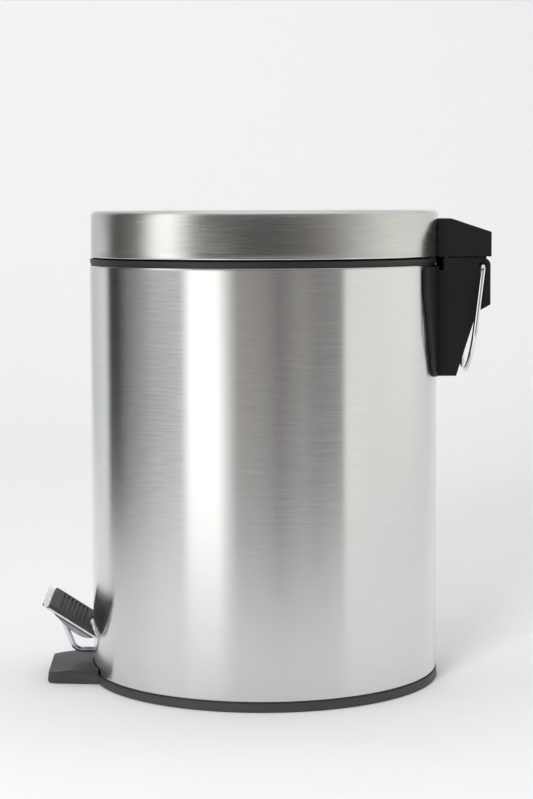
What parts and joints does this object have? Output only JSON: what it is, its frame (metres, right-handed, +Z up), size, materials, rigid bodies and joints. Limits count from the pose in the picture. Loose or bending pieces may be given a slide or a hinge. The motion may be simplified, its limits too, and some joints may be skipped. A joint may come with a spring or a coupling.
{
  "type": "pedal bin",
  "caption": "Round brushed-steel pedal bin with a black base and anti-tip foot, ribbed tread, rear-hinged steel lid, black hinge housing, wire carry handle and lift-out bucket.",
  "frame": {"origin": "on the floor, on the axis of the round body", "axes": "+Z up, -Y towards the pedal, +Y towards the lid hinge, X along the hinge pin"},
  "size_m": [0.2064, 0.2635, 0.277],
  "materials": {
    "brushed_stainless": "fine horizontal grain, satin",
    "bright_chrome": "bright plated",
    "zinc_wire": "zinc-plated, bright",
    "black_plastic": "fine moulded texture, satin",
    "base_plastic": "moulded, dark grey-black",
    "ring_plastic": "moulded, satin black",
    "liner_plastic": "moulded, satin black",
    "bucket_plastic": "moulded, satin black",
    "tread_rubber": "ribbed, matt",
    "foot_rubber": "matt",
    "buffer_rubber": "matt",
    "bearing_plastic": "moulded acetal, satin",
    "screw_steel": "zinc-plated"
  },
  "bodies": {
    "bin_body": {"outer_shell": "brushed_stainless", "base_moulding": "base_plastic", "floor_pads": "foot_rubber", "top_ring": "ring_plastic", "hinge_bracket": "black_plastic", "backing_plate": "bearing_plastic", "bracket_screws": "screw_steel", "hinge_pin": "screw_steel", "rod_guide": "bearing_plastic", "pivot_blocks": "bearing_plastic", "pivot_screws": "screw_steel"},
    "lid": {"lid_skin": "brushed_stainless", "lid_liner": "liner_plastic", "lid_buffers": "buffer_rubber", "hinge_cover": "black_plastic", "cover_screws": "screw_steel"},
    "pedal": {"pedal_plate": "bright_chrome", "pedal_pad": "tread_rubber", "pedal_lever": "zinc_wire", "lever_saddle": "zinc_wire", "lever_axle": "zinc_wire", "axle_washers": "screw_steel"},
    "lift_rod": {"lift_rod": "zinc_wire"},
    "carry_handle": {"carry_handle": "bright_chrome"},
    "bucket": {"bucket": "bucket_plastic"},
    "bucket_bail": {"bucket_bail": "zinc_wire"}
  },
  "joints": [
    {"name": "lid_hinge", "type": "hinge", "parent": "bin_body", "child": "lid", "pos_m": [0, 0.1272, 0.2444], "axis": [-1, 0, 0], "range_deg": [0, 80]},
    {"name": "pedal_lever", "type": "hinge", "parent": "bin_body", "child": "pedal", "pos_m": [0, -0.08, 0.0146], "axis": [1, 0, 0], "range_deg": [0, 5.8]},
    {"name": "rod_lift", "type": "slide", "parent": "bin_body", "child": "lift_rod", "axis": [0, 0, 1], "range_m": [0, 0.0179]},
    {"name": "handle_swing", "type": "hinge", "parent": "bin_body", "child": "carry_handle", "pos_m": [0, 0.1272, 0.2444], "axis": [1, 0, 0], "range_deg": [-2, 135]},
    {"name": "bucket_play", "type": "slide", "parent": "bin_body", "child": "bucket", "axis": [0, 0, 1], "range_m": [0, 0.004]},
    {"name": "bail_swing", "type": "hinge", "parent": "bucket", "child": "bucket_bail", "pos_m": [0, 0, 0.2386], "axis": [-1, 0, 0], "range_deg": [0, 4]}
  ],
  "couplings": [
    {"joint": "pedal_lever", "follows": "lid_hinge", "ratio": 0.0722},
    {"joint": "rod_lift", "follows": "lid_hinge", "m_per_rad": 0.0127}
  ]
}
